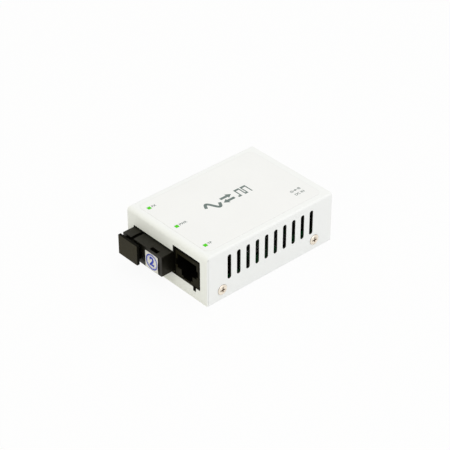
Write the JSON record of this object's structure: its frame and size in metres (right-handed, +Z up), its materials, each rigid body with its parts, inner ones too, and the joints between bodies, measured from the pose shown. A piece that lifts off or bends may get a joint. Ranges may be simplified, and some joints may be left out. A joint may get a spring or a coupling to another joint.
{
  "type": "fibre media converter",
  "caption": "Small desktop box that links a single-fibre optical port to a copper network socket, in a folded, vented steel case with a pull-out dust plug.",
  "frame": {"origin": "centre of the case's underside", "axes": "+Z up, the ports face -Y, +X to the right seen from the ports"},
  "size_m": [0.0508, 0.0786, 0.0241],
  "materials": {
    "case_paint": "matte powder coat",
    "screw_nickel": "warm nickel plate",
    "label_film": "matte film",
    "indicator_green": "bright green film",
    "board_green": "satin solder mask",
    "black_plastic": "satin moulded",
    "plug_plastic": "matte moulded",
    "insert_plastic": "satin moulded",
    "chip_epoxy": "matte epoxy",
    "tinned_lead": "tin plate",
    "gold_contact": "gold flash",
    "nickel_silver": "nickel plate",
    "capacitor_sleeve": "shrunk sleeve",
    "clear_acrylic": "clear moulded",
    "led_body": "matte",
    "sticker_paper": "coated paper"
  },
  "bodies": {
    "case": {"base_tray": "case_paint", "board_screws": "screw_nickel", "board_standoffs": "screw_nickel", "chip_leads": "tinned_lead", "circuit_board": "board_green", "clock_crystal": "nickel_silver", "converter_chip": "chip_epoxy", "copper_jack_housing": "black_plastic", "cover_screws": "screw_nickel", "dc_centre_pin": "nickel_silver", "dc_jack_housing": "black_plastic", "dc_solder_tags": "tinned_lead", "dc_spring_contact": "nickel_silver", "end_sticker": "sticker_paper", "ferrule_sleeve": "nickel_silver", "fibre_housing": "black_plastic", "fibre_module_base": "black_plastic", "fibre_module_board": "board_green", "fibre_module_pins": "tinned_lead", "fibre_port_insert": "insert_plastic", "indicator_windows": "indicator_green", "isolation_transformer": "black_plastic", "jack_contact_1": "gold_contact", "jack_contact_2": "gold_contact", "jack_contact_3": "gold_contact", "jack_contact_4": "gold_contact", "jack_contact_5": "gold_contact", "jack_contact_6": "gold_contact", "jack_contact_7": "gold_contact", "jack_contact_8": "gold_contact", "jack_contact_carrier": "black_plastic", "light_guide": "clear_acrylic", "link_led_1": "led_body", "link_led_2": "led_body", "link_led_3": "led_body", "optical_subassembly": "nickel_silver", "power_choke": "chip_epoxy", "regulator_leads": "tinned_lead", "smoothing_capacitor_1": "capacitor_sleeve", "smoothing_capacitor_2": "capacitor_sleeve", "top_cover": "case_paint", "top_label": "label_film", "transformer_leads": "tinned_lead", "voltage_regulator": "chip_epoxy"},
    "plug": {"dust_plug": "plug_plastic"}
  },
  "joints": [
    {"name": "dust_plug_pull", "type": "slide", "parent": "case", "child": "plug", "axis": [0, -1, 0], "range_m": [0, 0.016]}
  ]
}
